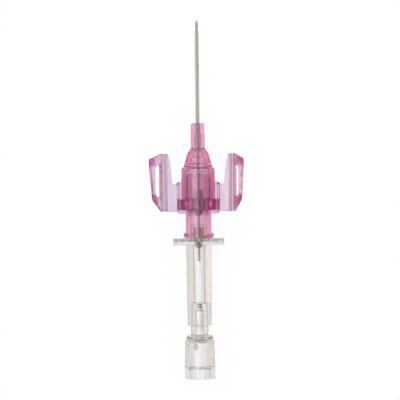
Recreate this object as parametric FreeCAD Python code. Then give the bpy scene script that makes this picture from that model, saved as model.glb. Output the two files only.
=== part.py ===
"""Winged safety IV cannula, 20 gauge by 25 mm, with its needle in place and its wings folded up.

Millimetres. The needle lies along Y with its tip at +Y, X runs across the wings and Z is up.
The cannula lies flat on the soles of its hub and saddle and on the ring of its flash plug.
The origin is on the floor, under the middle of the saddle's collar.
Until the last step everything is measured from the needle's axis and the rear face of the
catheter hub, where the luer socket opens.
"""
import FreeCAD, Part
import math
import os

# Broken edges: bevels on turned pieces, arcs on flat ones
fine_edge = 0.15
small_edge = 0.20
mould_edge = 0.30
soft_edge = 0.50

# Catheter
catheter_length = 25.0          # from the nose of the hub to the tip
catheter_diameter = 1.10
catheter_bore = 0.80
catheter_tip_diameter = 0.90
catheter_taper_length = 3.1
swell_wall = 0.12               # wall where the tube is stretched over its sleeve

# Metal sleeve that wedges the catheter into the nose
sleeve_length = 3.6
sleeve_diameter = 1.12
sleeve_wall = 0.09
sleeve_lead = 0.6               # length over which the catheter widens onto the sleeve
flare_length = 0.9
flare_diameter = 1.90
flare_setback = 0.2             # from the root of the nose to the wide rim of the flare
flare_entry = 0.1               # how much wider the seat of the flare is at its mouth

# Needle
needle_diameter = 0.72
needle_bore = 0.44
needle_beyond_catheter = 1.9
bevel_length = 1.8
needle_tail = 5.9               # how far the open rear end reaches into the flash chamber
crimp_width = 0.77              # flattened bump that the guard catches
crimp_length = 0.9
crimp_height = 0.68
crimp_from_tip = 5.2

# Luer fittings, both sockets and both tapers
luer_mouth_diameter = 4.30
luer_taper = 0.06               # change of diameter for each unit of length
luer_play = 0.02                # gap between a seated taper and its socket, on the radius
luer_chamfer = 0.15

# Proximal catheter hub: the luer socket
socket_length = 16.7
socket_diameter = 6.70
socket_depth = 8.0
throat_diameter = 3.64
chamber_diameter = 4.80
chamber_length = 6.4
lug_diameter = 7.80
lug_span = 140.0                # degrees round the tube for each lug
lug_thickness = 0.95
lug_band = 1.44                 # length of tube that the slanted lugs take up
lug_lead = 5.0                  # thread lead

# Distal catheter hub: body, cone and nose
body_diameter = 8.76
body_length = 7.9               # round body, from the collar to the shoulder
shoulder_length = 0.5
shoulder_diameter = 7.60
cone_length = 3.6
cone_small_diameter = 5.50
neck_length = 1.3
nose_length = 6.5
nose_diameter = 3.52
nose_root_diameter = 3.70
nose_lead_diameter = 3.20
nose_lead_length = 0.3
nose_bore_diameter = 1.08       # squeezes the catheter where it enters
inner_cone_diameter = 4.90      # hollow ahead of the septum
inner_cone_length = 1.9
inner_step_diameter = 3.40
inner_step_length = 1.8

# Septum
septum_thickness = 0.70
septum_core_diameter = 3.90
septum_core_depth = 0.9
septum_dimple_diameter = 2.2
septum_dimple_depth = 0.35
septum_play = 0.03

# Valve opener
opener_play = 0.05
opener_neck_play = 0.06
opener_neck_length = 4.3
opener_nose_diameter = 3.0
opener_nose_length = 1.2
opener_wide_length = 3.8
opener_bore = 2.60
opener_front_bore = 1.50
opener_front_wall = 2.2
opener_bore_taper = 0.4
shoulder_gap = 0.1

# Needle guard, one folded strip of spring steel
guard_length = 6.6
guard_width = 2.20
guard_height = 1.10
guard_strip = 0.12
guard_hole_play = 0.015
guard_waist_gap = 0.05          # from the strip to the needle where the arms close in
guard_lip = 0.75
guard_end_width = 1.10
guard_bow_round = 2.0
guard_tongue_round = 1.0
guard_proud = 0.1               # how far it stands out behind the valve opener

# Clear needle hub
hub_nose_length = 3.66
plate_width = 13.3
plate_height = 7.5
plate_front_thickness = 0.9
plate_rear_thickness = 0.85
plate_corner = 1.6
plate_gap = 0.05
plate_rear_inset = 0.12
serration_pitch = 0.65
serration_width = 0.46
serration_depth = 0.28
barrel_front_diameter = 6.62
barrel_rear_diameter = 6.20
barrel_length = 20.95
flash_bore = 2.60
flash_bore_start = 1.7          # behind the rear face of the catheter hub
well_mouth_diameter = 2.40
well_waist_diameter = 2.25
well_throat_diameter = 2.10
well_throat_at = 1.35
boss_root_diameter = 2.30
boss_tip_diameter = 1.10
boss_end = 2.6
adhesive_recess = 0.9
plug_seat_depth = 6.00          # how deep the flash plug's taper goes into the barrel

# Flash plug
plug_front_gap = 0.25
plug_neck_length = 2.65
plug_neck_diameter = 4.60
plug_neck_gap = 0.3             # taper left bare between the barrel and the neck
plug_bore = 1.80
plug_top_diameter = 6.90
plug_top_length = 0.8
plug_shoulder_length = 0.7
plug_front_diameter = 7.64
plug_rear_diameter = 7.84
plug_length = 8.0               # from the neck to the rear ring
plug_cavity = 5.00
plug_front_wall = 1.5
flute_count = 24
flute_radius = 0.38
flute_depth = 0.14              # halfway along the grip
flute_end_margin = 0.35

# Vent filter and the ring that holds it
ring_diameter = 7.96
ring_length = 3.3
spigot_diameter = 6.60
spigot_length = 0.8
filter_diameter = 5.80
filter_thickness = 0.5
ring_chamfer = 0.15

# Saddle and base panels
collar_length = 2.85
collar_width = 11.12
collar_height = 8.6             # above the floor
collar_side_height = 5.6
collar_crown_width = 6.6
collar_shoulder_round = 0.8
collar_crown_round = 1.2
socket_behind_collar = 7.3      # length of socket left bare behind the collar
window_width = 1.0
window_length = 1.6
window_floor = 7.75             # above the floor
window_offset = 2.9
window_setback = 0.3            # from the front of the collar
wall_thickness = 0.58
wall_top = 3.5                  # above the floor
wall_front = 14.5
wall_corner_round = 1.2
lip_length = 0.95
lip_width = 11.0
lip_height = 0.9
lip_overlap = 0.5
saddle_play = 0.03
panel_thickness = 0.8
panel_clearance = 0.15          # under the panels
panel_rear = 6.95
panel_front = 14.2
panel_saddle_front = 14.9
panel_beyond_wall = 0.3
ear_front = 22.15
ear_gap = 1.34                  # from the saddle's wall to the root of the ear
ear_taper = 0.55                # how much narrower the ear is in front
ear_corner = 1.25
ear_slope = 0.45
rib_width = 0.70
rib_height = 0.3
rib_setback = 0.15              # from the front of the ear

# Wings and their fold
fold_offset = 9.20              # from the needle's axis to the fold
fold_bead = 1.00
fold_play = 0.03
wing_thickness = 0.70
wing_length = 6.8
left_wing_angle = 60.5          # above the base panel, as each is carried before use
right_wing_angle = 69.0
wing_root = 1.0                 # straight part of both ends, next to the fold
wing_tail = 5.3                 # width where the sloped rear end meets the outer edge
wing_heel = 10.0                # where that corner stands along the needle
wing_shoulder = 18.8            # the outer edge is parallel to the fold ahead of this
wing_toe = 20.7                 # outer corner of the sloped front end
slot_inner = 1.6
slot_outer = 4.55
slot_rear = 10.3
slot_front = 19.3
slot_round = 0.6
slot_toe_round = 1.1
slot_heel_inset = 0.25
slot_heel_slope = 0.9
slot_toe_slope = 0.5
wing_root_round = 0.6
wing_heel_round = 0.9
wing_shoulder_round = 3.0

X_AXIS = FreeCAD.Vector(1, 0, 0)
ALONG = FreeCAD.Vector(0, 1, 0)
UP = FreeCAD.Vector(0, 0, 1)
AXIS_POINT = FreeCAD.Vector(0, 0, 0)

# Stations along the needle, worked out from the sizes above
septum_seat = socket_length + septum_thickness
collar_front = socket_behind_collar + collar_length
shoulder_rear = collar_front + body_length
shoulder_front = shoulder_rear + shoulder_length
cone_front = shoulder_front + cone_length
nose_root = cone_front + neck_length
nose_face = nose_root + nose_length
catheter_tip = nose_face + catheter_length
needle_tip = catheter_tip + needle_beyond_catheter
inner_cone_front = septum_seat + inner_cone_length
inner_step_front = inner_cone_front + inner_step_length
flare_rear = nose_root - flare_length - flare_setback
flare_front = flare_rear + flare_length
sleeve_front = flare_front + sleeve_length
chamber_rear = socket_length - chamber_length
opener_shoulder = chamber_rear + shoulder_gap
opener_rear = opener_shoulder - opener_neck_length
guard_rear = opener_rear - guard_proud
plate_front = -plate_gap
plate_middle = plate_front - plate_front_thickness
plate_rear = plate_middle - plate_rear_thickness
barrel_rear = plate_rear - barrel_length
chamber_end = barrel_rear + plug_seat_depth
plug_front = chamber_end - plug_front_gap
plug_shoulder = barrel_rear - plug_neck_length
plug_rear = plug_shoulder - plug_length
grip_front = plug_shoulder - plug_top_length - plug_shoulder_length
ring_rear = plug_rear - ring_length
cavity_front = plug_shoulder - plug_front_wall
reach = needle_tip - ring_rear  # longer than any cut needs
axis_height = ring_diameter / 2
floor = -axis_height
fold_height = floor + panel_clearance + panel_thickness / 2


def rounded_face(corners, place, bevelled=False):
    """Face with straight sides. A corner is (a, b) or (a, b, radius), and place makes it a point.
    Where the corners are bevelled, each arc gives way to its chord."""
    points = [place(corner[0], corner[1]) for corner in corners]
    bends = []
    for number, corner in enumerate(corners):
        point = points[number]
        if len(corner) == 2:
            bends.append((point, None, point))
            continue
        back = (points[number - 1] - point).normalize()
        ahead = (points[(number + 1) % len(points)] - point).normalize()
        half = back.getAngle(ahead) / 2
        tangent = corner[2] / math.tan(half)
        middle = (back + ahead).normalize() * (corner[2] / math.sin(half) - corner[2])
        bends.append((point + back * tangent, point + middle, point + ahead * tangent))
    edges = []
    for number, (start, middle, end) in enumerate(bends):
        if middle is not None and bevelled:
            edges.append(Part.LineSegment(start, end).toShape())
        elif middle is not None:
            edges.append(Part.Arc(start, middle, end).toShape())
        following = bends[(number + 1) % len(bends)][0]
        if end.distanceToPoint(following) > 1e-6:
            edges.append(Part.LineSegment(end, following).toShape())
    return Part.Face(Part.Wire(edges))


def turned(*corners):
    """Solid turned about the needle's axis, from corners (radius, place along the needle)."""
    outline = rounded_face(corners, lambda radius, along: FreeCAD.Vector(radius, along, 0), True)
    return outline.revolve(AXIS_POINT, ALONG, 360)


def plate(corners, bottom, thickness):
    """Flat plate seen from above, from corners (x, y)."""
    outline = rounded_face(corners, lambda x, y: FreeCAD.Vector(x, y, bottom))
    return outline.extrude(UP * thickness)


def slice_across(corners, rear, length):
    """Block whose cross section, seen along the needle, has corners (x, z)."""
    outline = rounded_face(corners, lambda x, z: FreeCAD.Vector(x, rear, z))
    return outline.extrude(ALONG * length)


def rod(radius, rear, front, x=0.0, z=0.0):
    """Round bar parallel to the needle."""
    return Part.makeCylinder(radius, front - rear, FreeCAD.Vector(x, rear, z), ALONG)


def box(x0, x1, y0, y1, z0, z1):
    """Box between two corners."""
    return Part.makeBox(x1 - x0, y1 - y0, z1 - z0, FreeCAD.Vector(x0, y0, z0))


def mirrored(shape):
    """The same shape on the other side of the needle."""
    return shape.mirror(AXIS_POINT, X_AXIS)


def socket_radius(depth):
    """Radius of a luer socket at a depth from its mouth; the seated taper is smaller by the play."""
    return (luer_mouth_diameter - luer_taper * depth) / 2


def make_catheter_tube():
    """Thin tube with a tapered tip, widened at its rear where it is pulled over the sleeve."""
    outer = catheter_diameter / 2
    bore = catheter_bore / 2
    over_sleeve = sleeve_diameter / 2
    swollen = over_sleeve + swell_wall
    flare = flare_diameter / 2
    middle = flare_front - flare_length / 2
    half_flare = (over_sleeve + flare) / 2
    return turned(
        (bore, catheter_tip),
        (catheter_tip_diameter / 2, catheter_tip),
        (outer, catheter_tip - catheter_taper_length),
        (outer, nose_face),
        (nose_bore_diameter / 2, nose_face),
        (nose_bore_diameter / 2, sleeve_front + sleeve_lead),
        (swollen, sleeve_front),
        (swollen, flare_front),
        (half_flare + swell_wall, middle),
        (half_flare, middle),
        (over_sleeve, flare_front),
        (over_sleeve, sleeve_front),
        (bore, sleeve_front + sleeve_lead),
    )


def make_catheter_sleeve():
    """Metal funnel that wedges the catheter into the nose and guides the needle."""
    outer = sleeve_diameter / 2
    flare = flare_diameter / 2
    return turned(
        (outer - sleeve_wall, sleeve_front),
        (outer, sleeve_front),
        (outer, flare_front),
        (flare, flare_rear),
        (flare - sleeve_wall, flare_rear),
        (outer - sleeve_wall, flare_front),
    )


def make_hub_front():
    """Distal hub: nose, cone and round body, hollow, with a flat sole underneath."""
    swollen = sleeve_diameter / 2 + swell_wall
    flare_seat = flare_diameter / 2 + swell_wall
    shell = turned(
        (nose_bore_diameter / 2, nose_face),
        (nose_lead_diameter / 2, nose_face),
        (nose_diameter / 2, nose_face - nose_lead_length),
        (nose_root_diameter / 2, nose_root, mould_edge),
        (cone_small_diameter / 2, cone_front, soft_edge),
        (shoulder_diameter / 2, shoulder_front, mould_edge),
        (body_diameter / 2, shoulder_rear, small_edge),
        (body_diameter / 2, collar_front),
        (socket_diameter / 2, collar_front),
        (socket_diameter / 2, septum_seat),
        (inner_cone_diameter / 2, septum_seat),
        (inner_cone_diameter / 2, inner_cone_front),
        (inner_step_diameter / 2, inner_cone_front),
        (inner_step_diameter / 2, inner_step_front),
        (flare_seat + flare_entry, inner_step_front),
        (flare_seat, flare_rear),
        (swollen, flare_front),
        (swollen, sleeve_front),
        (nose_bore_diameter / 2, sleeve_front + sleeve_lead),
    )
    below = box(-reach, reach, -reach, reach, floor - reach, floor)
    return shell.cut(below)


def make_lug(side):
    """One slanted locking lug on the left (-1) or right (+1) of the socket's mouth."""
    ring = rod(lug_diameter / 2, 0, lug_band).cut(rod(socket_diameter / 2, 0, lug_band))
    edge = reach * math.tan(math.radians(lug_span / 2))
    wedge = slice_across([(0, 0), (side * reach, edge), (side * reach, -edge)], 0, lug_band)
    slab = box(-reach, reach, -lug_thickness / 2, lug_thickness / 2, -reach, reach)
    slope = math.degrees(math.atan(lug_lead / (math.pi * lug_diameter)))
    slab.rotate(AXIS_POINT, X_AXIS, side * slope)
    slab.translate(ALONG * (lug_band / 2))
    return ring.common(wedge).common(slab)


def make_hub_socket():
    """Proximal hub: luer socket with lugs, and the chamber that guides the valve opener."""
    outer = socket_diameter / 2
    body = turned(
        (socket_radius(0) + luer_chamfer, 0),
        (outer, 0, fine_edge),
        (outer, socket_length),
        (chamber_diameter / 2, socket_length),
        (chamber_diameter / 2, chamber_rear),
        (throat_diameter / 2, chamber_rear),
        (throat_diameter / 2, socket_depth),
        (socket_radius(socket_depth), socket_depth),
        (socket_radius(luer_chamfer), luer_chamfer),
    )
    return body.fuse([make_lug(-1), make_lug(1)]).removeSplitter()


def make_septum():
    """Silicone disc clamped between the two hubs, with the needle through its slit."""
    slit = needle_diameter / 2 + septum_play
    return turned(
        (slit, socket_length - septum_core_depth),
        (septum_core_diameter / 2, socket_length - septum_core_depth, small_edge),
        (septum_core_diameter / 2, socket_length),
        (socket_diameter / 2, socket_length),
        (socket_diameter / 2, septum_seat),
        (septum_dimple_diameter / 2, septum_seat),
        (slit, septum_seat - septum_dimple_depth),
    )


def make_valve_opener():
    """Plunger that a syringe pushes forward through the septum; the guard rides inside it."""
    wide = chamber_diameter / 2 - opener_play
    neck = throat_diameter / 2 - opener_neck_play
    wide_front = opener_shoulder + opener_wide_length
    front = wide_front + opener_nose_length
    return turned(
        (opener_bore / 2, opener_rear),
        (neck, opener_rear, fine_edge),
        (neck, opener_shoulder),
        (wide, opener_shoulder),
        (wide, wide_front, mould_edge),
        (opener_nose_diameter / 2, front, fine_edge),
        (opener_front_bore / 2, front),
        (opener_front_bore / 2, front - opener_front_wall, small_edge),
        (opener_bore / 2, front - opener_front_wall - opener_bore_taper),
    )


def make_needle_guard():
    """Spring clip folded from one strip: a rear wall with a hole, and two arms with rolled lips."""
    top = guard_height / 2
    waist = needle_diameter / 2 + guard_waist_gap
    waist_at = guard_rear + guard_length - guard_lip
    bow_at = guard_rear + guard_length / 2
    front = guard_rear + guard_length
    side = [
        (guard_rear, -top, small_edge),
        (guard_rear, top, small_edge),
        (bow_at, top, guard_bow_round),
        (waist_at, waist + guard_strip, mould_edge),
        (front, top),
        (front, top - guard_strip),
        (waist_at, waist, small_edge),
        (bow_at, top - guard_strip, guard_bow_round),
        (guard_rear + guard_strip, top - guard_strip, small_edge - guard_strip),
        (guard_rear + guard_strip, -top + guard_strip, small_edge - guard_strip),
        (bow_at, -top + guard_strip, guard_bow_round),
        (waist_at, -waist, small_edge),
        (front, -top + guard_strip),
        (front, -top),
        (waist_at, -waist - guard_strip, mould_edge),
        (bow_at, -top, guard_bow_round),
    ]
    half = guard_width / 2
    strip = rounded_face(side, lambda y, z: FreeCAD.Vector(-half, y, z)).extrude(X_AXIS * guard_width)
    end = guard_end_width / 2
    plan = plate([
        (-end, guard_rear, mould_edge), (end, guard_rear, mould_edge),
        (half, guard_rear + half, soft_edge), (half, front, guard_tongue_round),
        (-half, front, guard_tongue_round), (-half, guard_rear + half, soft_edge),
    ], -guard_height, 2 * guard_height)
    hole = rod(needle_diameter / 2 + guard_hole_play, guard_rear - guard_strip, guard_rear + 2 * guard_strip)
    return strip.common(plan).cut(hole)


def make_needle():
    """Steel needle with a ground bevel facing up and a flattened crimp behind the tip."""
    radius = needle_diameter / 2
    tube = rod(radius, -needle_tail, needle_tip)
    crimp_at = needle_tip - crimp_from_tip
    crimp = Part.makeSphere(crimp_width / 2)
    stretch = FreeCAD.Matrix()
    stretch.scale(1, crimp_length / crimp_width, crimp_height / crimp_width)
    crimp = crimp.transformGeometry(stretch)
    crimp.translate(ALONG * crimp_at)
    tube = tube.fuse(crimp).cut(rod(needle_bore / 2, -needle_tail, needle_tip))
    heel = needle_tip - bevel_length
    wedge = rounded_face(
        [(needle_tip, -radius), (heel, radius), (heel, 2 * radius), (needle_tip + radius, 2 * radius),
         (needle_tip + radius, -radius)],
        lambda y, z: FreeCAD.Vector(-radius, y, z)).extrude(X_AXIS * needle_diameter)
    return tube.cut(wedge)


def well_corners(top):
    """The side of the glue well in the needle hub, from its mouth or from the glue's surface."""
    needle = needle_diameter / 2
    slope = (well_mouth_diameter - well_waist_diameter) / 2 / hub_nose_length
    return [
        (needle, top),
        (well_waist_diameter / 2 + slope * top, top),
        (well_waist_diameter / 2, 0),
        (well_throat_diameter / 2, -well_throat_at),
        (needle, -boss_end),
    ]


def make_needle_adhesive():
    """Cured glue that fills the well round the needle."""
    return turned(*well_corners(hub_nose_length - adhesive_recess))


def serrations(half_width, top):
    """Sharp grooves across the long upper and lower edges of the push-off plate."""
    count = int((half_width - plate_corner) / serration_pitch)
    half = serration_width / 2
    grooves = []
    for number in range(-count, count + 1):
        x = number * serration_pitch
        for side in (-1, 1):
            outline = [(x - half, side * top), (x + half, side * top), (x, side * (top - serration_depth))]
            grooves.append(slice_across(outline, plate_middle, plate_front_thickness))
    return Part.makeCompound(grooves)


def plate_outline(inset):
    """Corners of the push-off plate seen along the needle."""
    half = plate_width / 2 - inset
    top = plate_height / 2 - inset
    return [(-half, -top, plate_corner), (half, -top, plate_corner),
            (half, top, plate_corner), (-half, top, plate_corner)]


def make_needle_hub():
    """Clear hub: luer nose, push-off plate, flash chamber and the socket for the plug."""
    nose_root_radius = socket_radius(0) - luer_play
    nose_tip_radius = socket_radius(hub_nose_length) - luer_play
    socket_end = socket_radius(plug_seat_depth)
    turned_body = turned(
        (0, hub_nose_length),
        (nose_tip_radius, hub_nose_length, small_edge),
        (nose_root_radius, 0),
        (nose_root_radius, plate_front),
        (barrel_front_diameter / 2, plate_front),
        (barrel_front_diameter / 2, plate_rear),
        (barrel_rear_diameter / 2, barrel_rear, small_edge),
        (socket_radius(0) + luer_chamfer, barrel_rear),
        (socket_radius(luer_chamfer), barrel_rear + luer_chamfer),
        (socket_end, chamber_end),
        (flash_bore / 2, chamber_end),
        (flash_bore / 2, -flash_bore_start),
        (boss_root_diameter / 2, -flash_bore_start),
        (boss_tip_diameter / 2, -boss_end),
        (0, -boss_end),
    )
    front = slice_across(plate_outline(0), plate_middle, plate_front_thickness)
    front = front.cut(serrations(plate_width / 2, plate_height / 2))
    rear = slice_across(plate_outline(plate_rear_inset), plate_rear, plate_rear_thickness)
    bore = rod(flash_bore / 2, plate_rear, -flash_bore_start)
    hub = turned_body.fuse([front, rear.cut(bore)]).removeSplitter()
    return hub.cut(turned(*well_corners(hub_nose_length))).cut(
        rod(needle_diameter / 2, -boss_end, hub_nose_length))


def make_flash_plug():
    """Clear plug: luer taper, fluted grip and a cavity closed behind by the filter."""
    tip = socket_radius(plug_seat_depth - plug_front_gap) - luer_play
    taper_end = socket_radius(-plug_neck_gap) - luer_play
    filter_seat = plug_rear - spigot_length + filter_thickness
    body = turned(
        (plug_bore / 2, plug_front),
        (tip, plug_front, small_edge),
        (taper_end, barrel_rear - plug_neck_gap),
        (plug_neck_diameter / 2, barrel_rear - plug_neck_gap),
        (plug_neck_diameter / 2, plug_shoulder),
        (plug_top_diameter / 2, plug_shoulder, fine_edge),
        (plug_top_diameter / 2, plug_shoulder - plug_top_length),
        (plug_front_diameter / 2, grip_front, fine_edge),
        (plug_rear_diameter / 2, plug_rear),
        (spigot_diameter / 2, plug_rear),
        (spigot_diameter / 2, plug_rear - spigot_length),
        (filter_diameter / 2, plug_rear - spigot_length),
        (filter_diameter / 2, filter_seat),
        (plug_cavity / 2, filter_seat),
        (plug_cavity / 2, cavity_front, soft_edge),
        (plug_bore / 2, cavity_front),
    )
    flute_front = grip_front - flute_end_margin
    ring = (plug_front_diameter + plug_rear_diameter) / 4 - flute_depth + flute_radius
    flutes = []
    for number in range(flute_count):
        turn = 2 * math.pi * number / flute_count
        flutes.append(rod(flute_radius, plug_rear + flute_end_margin, flute_front,
                          ring * math.cos(turn), ring * math.sin(turn)))
    return body.cut(Part.makeCompound(flutes))


def make_vent_filter():
    """Porous disc that lets air out of the plug and keeps blood in."""
    rear = plug_rear - spigot_length
    return rod(filter_diameter / 2, rear, rear + filter_thickness)


def make_filter_ring():
    """Clear ring pressed over the plug's spigot; its ledge holds the filter."""
    ledge = plug_rear - spigot_length
    return turned(
        (spigot_diameter / 2, plug_rear),
        (ring_diameter / 2, plug_rear, ring_chamfer),
        (ring_diameter / 2, ring_rear, ring_chamfer),
        (plug_cavity / 2, ring_rear, ring_chamfer),
        (plug_cavity / 2, ledge),
        (spigot_diameter / 2, ledge),
    )


def make_base_panel():
    """Right base panel with its forward ear and the rib along the fold."""
    edge = fold_offset - wing_thickness / 2
    bottom = floor + panel_clearance
    wall_outside = collar_width / 2
    panel = plate([
        (0, panel_rear),
        (edge, panel_rear),
        (edge, ear_front),
        (wall_outside + ear_gap + ear_taper, ear_front - ear_slope, ear_corner),
        (wall_outside + ear_gap, panel_front, soft_edge),
        (wall_outside + panel_beyond_wall, panel_front, mould_edge),
        (wall_outside - wall_thickness, panel_saddle_front, mould_edge),
        (0, panel_saddle_front),
    ], bottom, panel_thickness)
    top = bottom + panel_thickness
    rib = box(edge - rib_width, edge, panel_rear, ear_front - rib_setback, top, top + rib_height)
    groove = rod(fold_bead / 2 + fold_play, -reach, reach, fold_offset, fold_height)
    return panel.fuse(rib).cut(groove)


def make_side_wall():
    """Right wall of the saddle, beside the round body."""
    outside = collar_width / 2
    rear = collar_front - collar_length / 2
    base = floor + panel_clearance
    outline = rounded_face(
        [(rear, base), (wall_front, base), (wall_front, floor + wall_top, wall_corner_round),
         (rear, floor + wall_top)],
        lambda y, z: FreeCAD.Vector(outside - wall_thickness, y, z))
    return outline.extrude(X_AXIS * wall_thickness)


def make_collar():
    """Arch of the saddle that the socket passes through, with two latch windows on top."""
    half = collar_width / 2
    crown = collar_crown_width / 2
    collar = slice_across([
        (-half, floor), (half, floor),
        (half, floor + collar_side_height, collar_shoulder_round),
        (crown, floor + collar_height, collar_crown_round),
        (-crown, floor + collar_height, collar_crown_round),
        (-half, floor + collar_side_height, collar_shoulder_round),
    ], socket_behind_collar, collar_length)
    for side in (-1, 1):
        centre = side * window_offset
        collar = collar.cut(box(
            centre - window_width / 2, centre + window_width / 2,
            collar_front - window_setback - window_length, collar_front - window_setback,
            floor + window_floor, reach))
    return collar


def make_rear_lip():
    """Thin tail of the saddle under the socket."""
    half = lip_width / 2
    rear = socket_behind_collar - lip_length
    front = socket_behind_collar + lip_overlap
    return plate([(-half, rear, soft_edge), (half, rear, soft_edge), (half, front), (-half, front)],
                 floor, lip_height)


def make_wing_platform():
    """Saddle in one moulding: arch, walls, tail and both base panels."""
    right = make_base_panel().fuse(make_side_wall())
    body = make_collar().fuse([right, mirrored(right), make_rear_lip()])
    body = body.cut(rod(socket_diameter / 2, -reach, collar_front))
    body = body.cut(rod(body_diameter / 2 + saddle_play, collar_front, reach))
    return body.removeSplitter()


def make_wing(angle):
    """Slotted right outer panel with the bead that turns in the fold, folded up by an angle."""
    corners = [
        (0, panel_rear), (wing_root, panel_rear, wing_root_round),
        (wing_tail, wing_heel, wing_heel_round), (wing_length, wing_shoulder, wing_shoulder_round),
        (wing_length, wing_toe, soft_edge), (wing_root, ear_front, wing_root_round), (0, ear_front),
    ]
    slot = [
        (slot_inner, slot_rear, slot_round),
        (slot_outer - slot_heel_inset, slot_rear + slot_heel_slope, slot_round),
        (slot_outer, slot_front - slot_toe_slope, slot_toe_round),
        (slot_inner, slot_front, slot_round),
    ]
    bottom = fold_height - wing_thickness / 2

    def placed(outline):
        return [(fold_offset + corner[0],) + corner[1:] for corner in outline]

    panel = plate(placed(corners), bottom, wing_thickness)
    panel = panel.cut(plate(placed(slot), bottom, wing_thickness))
    wing = panel.fuse(rod(fold_bead / 2, panel_rear, ear_front, fold_offset, fold_height))
    wing = wing.removeSplitter()
    wing.rotate(FreeCAD.Vector(fold_offset, 0, fold_height), ALONG, -angle)
    return wing


pieces = {
    "catheter_tube": make_catheter_tube(),
    "catheter_sleeve": make_catheter_sleeve(),
    "hub_front": make_hub_front(),
    "hub_socket": make_hub_socket(),
    "septum": make_septum(),
    "valve_opener": make_valve_opener(),
    "needle_guard": make_needle_guard(),
    "needle": make_needle(),
    "needle_adhesive": make_needle_adhesive(),
    "needle_hub": make_needle_hub(),
    "flash_plug": make_flash_plug(),
    "vent_filter": make_vent_filter(),
    "filter_ring": make_filter_ring(),
    "wing_platform": make_wing_platform(),
    "right_wing": make_wing(right_wing_angle),
    "left_wing": mirrored(make_wing(left_wing_angle)),
}

os.makedirs("parts", exist_ok=True)
middle_of_collar = socket_behind_collar + collar_length / 2
for name, piece in pieces.items():
    piece.translate(FreeCAD.Vector(0, -middle_of_collar, axis_height))
    piece.exportStep("parts/" + name + ".step")
    print(name, len(piece.Solids), piece.isValid(), round(piece.Volume, 3))
print("length", needle_tip - ring_rear, "needle axis", axis_height, "collar", middle_of_collar)
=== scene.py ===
import math
import bmesh
import bpy
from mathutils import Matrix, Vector


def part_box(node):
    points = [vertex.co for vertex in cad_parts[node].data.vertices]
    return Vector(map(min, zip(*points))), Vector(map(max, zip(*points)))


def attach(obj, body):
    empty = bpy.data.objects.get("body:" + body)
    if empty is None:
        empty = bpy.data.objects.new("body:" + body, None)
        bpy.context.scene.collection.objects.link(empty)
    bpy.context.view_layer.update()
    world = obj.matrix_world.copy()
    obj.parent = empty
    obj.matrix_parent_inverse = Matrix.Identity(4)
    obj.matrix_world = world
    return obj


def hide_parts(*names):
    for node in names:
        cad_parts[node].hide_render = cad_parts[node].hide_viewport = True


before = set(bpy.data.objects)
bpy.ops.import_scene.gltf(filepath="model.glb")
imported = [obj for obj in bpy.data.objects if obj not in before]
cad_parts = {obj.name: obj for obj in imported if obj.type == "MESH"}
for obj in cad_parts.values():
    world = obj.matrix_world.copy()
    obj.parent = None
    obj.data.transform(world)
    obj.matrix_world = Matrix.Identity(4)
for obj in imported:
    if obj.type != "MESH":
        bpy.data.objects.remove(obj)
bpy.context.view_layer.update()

scene = bpy.context.scene

# The table. The cannula lies on a wide table of white paper. To the plastic and the steel it is a
# thin sheet lit by the tent from below, a little cooler on the left and warmer on the right.
mm = 0.001
table_size = 4.0
air_gap = 0.02 * mm
table_colour = (0.90, 0.90, 0.90, 1)
table_glow = 0.95               # share of the table that shows as plain white paper
side_tints = ((0.0, (0.93, 0.97, 1.00)), (1.0, (1.00, 0.95, 0.89)))
side_reach = 15 * mm


def linked(tree, *pairs):
    """Joins sockets of a node tree, each pair being an output and an input."""
    for source, target in pairs:
        tree.links.new(source, target)


def banded(nodes, bands):
    """Colour ramp through bands of (place, colour)."""
    ramp = nodes.new("ShaderNodeValToRGB")
    stops = ramp.color_ramp.elements
    while len(stops) < len(bands):
        stops.new(0.5)
    for stop, (place, colour) in zip(stops, bands):
        stop.position = place
        stop.color = (*colour, 1)
    return ramp


bpy.ops.mesh.primitive_plane_add(size=table_size, location=(0, 0, -air_gap))
table = bpy.context.object
table.name = "table"
paper = bpy.data.materials.new("white_paper")
paper.use_nodes = True
nodes = paper.node_tree.nodes
nodes.clear()
output = nodes.new("ShaderNodeOutputMaterial")
blend = nodes.new("ShaderNodeMixShader")
matt = nodes.new("ShaderNodeBsdfDiffuse")
glow = nodes.new("ShaderNodeEmission")
path = nodes.new("ShaderNodeLightPath")
seen = nodes.new("ShaderNodeMath")
seen_glass = nodes.new("ShaderNodeMath")
share = nodes.new("ShaderNodeMath")
place = nodes.new("ShaderNodeTexCoord")
across = nodes.new("ShaderNodeSeparateXYZ")
side = nodes.new("ShaderNodeMapRange")
tinted = banded(nodes, side_tints)
below = nodes.new("ShaderNodeBsdfTransparent")
direct = nodes.new("ShaderNodeMixShader")
matt.inputs["Color"].default_value = table_colour
seen.operation = "MAXIMUM"
seen_glass.operation = "MAXIMUM"
share.operation = "MULTIPLY"
share.inputs[1].default_value = table_glow
side.inputs["From Min"].default_value = -side_reach
side.inputs["From Max"].default_value = side_reach
glow.inputs["Color"].default_value = (1, 1, 1, 1)
linked(paper.node_tree,
       (place.outputs["Object"], across.inputs[0]),
       (across.outputs["X"], side.inputs["Value"]),
       (side.outputs["Result"], tinted.inputs["Fac"]),
       (tinted.outputs["Color"], below.inputs["Color"]),
       (path.outputs["Is Camera Ray"], direct.inputs["Fac"]),
       (below.outputs[0], direct.inputs[1]),
       (glow.outputs[0], direct.inputs[2]),
       (path.outputs["Is Camera Ray"], seen.inputs[0]),
       (path.outputs["Is Glossy Ray"], seen.inputs[1]),
       (seen.outputs[0], seen_glass.inputs[0]),
       (path.outputs["Is Transmission Ray"], seen_glass.inputs[1]),
       (seen_glass.outputs[0], share.inputs[0]),
       (share.outputs[0], blend.inputs["Fac"]),
       (matt.outputs[0], blend.inputs[1]),
       (direct.outputs[0], blend.inputs[2]),
       (blend.outputs[0], output.inputs["Surface"]))
table.data.materials.append(paper)

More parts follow.
